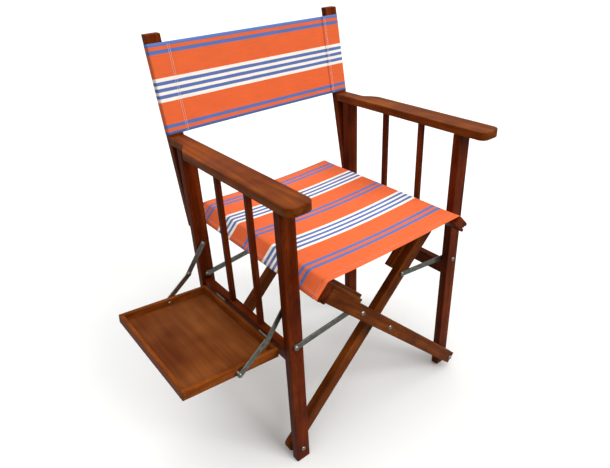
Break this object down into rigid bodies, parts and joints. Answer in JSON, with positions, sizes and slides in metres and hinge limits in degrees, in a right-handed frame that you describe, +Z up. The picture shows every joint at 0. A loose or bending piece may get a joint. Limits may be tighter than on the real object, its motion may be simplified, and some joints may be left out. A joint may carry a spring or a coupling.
{
  "type": "folding chair with side tray",
  "caption": "Folding slatted-side armchair with crossing legs, a striped cloth seat and back, and a drop-leaf side tray held on folding stays.",
  "frame": {"origin": "centre of the whole part's box at floor level, tray down", "axes": "+Z up, -Y the way a sitter faces, -X the sitter's right, where the tray is"},
  "size_m": [0.7448, 0.5088, 0.8685],
  "materials": {
    "hardwood": "satin reddish brown varnish",
    "tray_board": "satin brown varnish over smooth board",
    "canvas": "woven canvas, orange with blue and cream stripes",
    "hardware": "dull zinc plate",
    "spacer": "black"
  },
  "bodies": {
    "tray_side_frame": {"left_front_leg": "hardwood", "left_rear_leg": "hardwood", "left_side_rail": "hardwood", "left_spindles": "hardwood", "left_armrest": "hardwood", "left_back_post": "hardwood", "left_foot_bolts": "hardware", "left_link_bolts": "hardware", "left_frame_nuts": "hardware", "rail_hinge_leaves": "hardware", "tray_hinge_pins": "hardware", "stay_post_screws": "hardware", "back_cloth": "canvas"},
    "legs_rising_right": {"front_leg_rising_right": "hardwood", "rear_leg_rising_right": "hardwood", "right_seat_rail": "hardwood", "right_hem_dowel": "hardwood", "right_seat_cleats": "hardwood", "right_leg_link_bolts": "hardware", "centre_bolts": "hardware", "centre_nuts": "hardware", "centre_spacers": "spacer"},
    "legs_rising_left": {"front_leg_rising_left": "hardwood", "rear_leg_rising_left": "hardwood", "left_seat_rail": "hardwood", "left_hem_dowel": "hardwood", "left_seat_cleats": "hardwood", "left_leg_link_bolts": "hardware", "seat_cloth": "canvas"},
    "right_side_frame": {"right_front_leg": "hardwood", "right_rear_leg": "hardwood", "right_side_rail": "hardwood", "right_spindles": "hardwood", "right_armrest": "hardwood", "right_back_post": "hardwood", "right_foot_bolts": "hardware", "right_link_bolts": "hardware", "right_frame_nuts": "hardware"},
    "left_links": {"left_front_link": "hardware", "left_rear_link": "hardware", "left_link_rivets": "hardware"},
    "right_links": {"right_front_link": "hardware", "right_rear_link": "hardware", "right_link_rivets": "hardware"},
    "side_tray": {"tray_front_rim": "hardwood", "tray_rear_rim": "hardwood", "tray_inner_rim": "hardwood", "tray_outer_rim": "hardwood", "tray_panel": "tray_board", "tray_corner_pins": "hardware", "tray_hinge_leaves": "hardware", "stay_tray_studs": "hardware"},
    "upper_stays": {"front_upper_stay": "hardware", "rear_upper_stay": "hardware", "stay_knee_rivets": "hardware"},
    "lower_stays": {"front_lower_stay": "hardware", "rear_lower_stay": "hardware", "stay_end_rivets": "hardware"}
  },
  "joints": [
    {"name": "chair_fold", "type": "hinge", "parent": "tray_side_frame", "child": "legs_rising_right", "pos_m": [-0.1416, -0.01042, 0.033], "axis": [0, -1, 0], "range_deg": [0, 34.33], "deforming": ["seat_cloth", "back_cloth"]},
    {"name": "scissor_centre", "type": "hinge", "parent": "legs_rising_right", "child": "legs_rising_left", "pos_m": [0.0964, -0.01042, 0.265], "axis": [0, -1, 0], "range_deg": [-75.51, 0]},
    {"name": "right_frame_foot", "type": "hinge", "parent": "legs_rising_left", "child": "right_side_frame", "pos_m": [0.3344, -0.01042, 0.033], "axis": [0, -1, 0], "range_deg": [0, 34.38]},
    {"name": "left_link_pivot", "type": "hinge", "parent": "tray_side_frame", "child": "left_links", "pos_m": [-0.1436, -0.01042, 0.3295], "axis": [0, -1, 0], "range_deg": [0, 61.99]},
    {"name": "right_link_pivot", "type": "hinge", "parent": "right_side_frame", "child": "right_links", "pos_m": [0.3364, -0.01042, 0.3295], "axis": [0, -1, 0], "range_deg": [-61.99, 0]},
    {"name": "tray_hinge", "type": "hinge", "parent": "tray_side_frame", "child": "side_tray", "pos_m": [-0.1551, -0.01042, 0.3076], "axis": [0, 1, 0], "range_deg": [0, 84.6]},
    {"name": "stay_post_pivot", "type": "hinge", "parent": "tray_side_frame", "child": "upper_stays", "pos_m": [-0.1456, -0.01042, 0.416], "axis": [0, 1, 0], "range_deg": [-50.72, 0]},
    {"name": "stay_knee", "type": "hinge", "parent": "upper_stays", "child": "lower_stays", "pos_m": [-0.19342, -0.01042, 0.35374], "axis": [0, 1, 0], "range_deg": [0, 148.72]}
  ],
  "couplings": [
    {"joint": "scissor_centre", "follows": "chair_fold", "ratio": -2.1984},
    {"joint": "right_frame_foot", "follows": "chair_fold", "ratio": 1},
    {"joint": "left_link_pivot", "follows": "chair_fold", "ratio": 1.8043},
    {"joint": "right_link_pivot", "follows": "chair_fold", "ratio": -1.8043},
    {"joint": "stay_post_pivot", "follows": "tray_hinge", "ratio": -0.59899},
    {"joint": "stay_knee", "follows": "tray_hinge", "ratio": 1.7573}
  ]
}
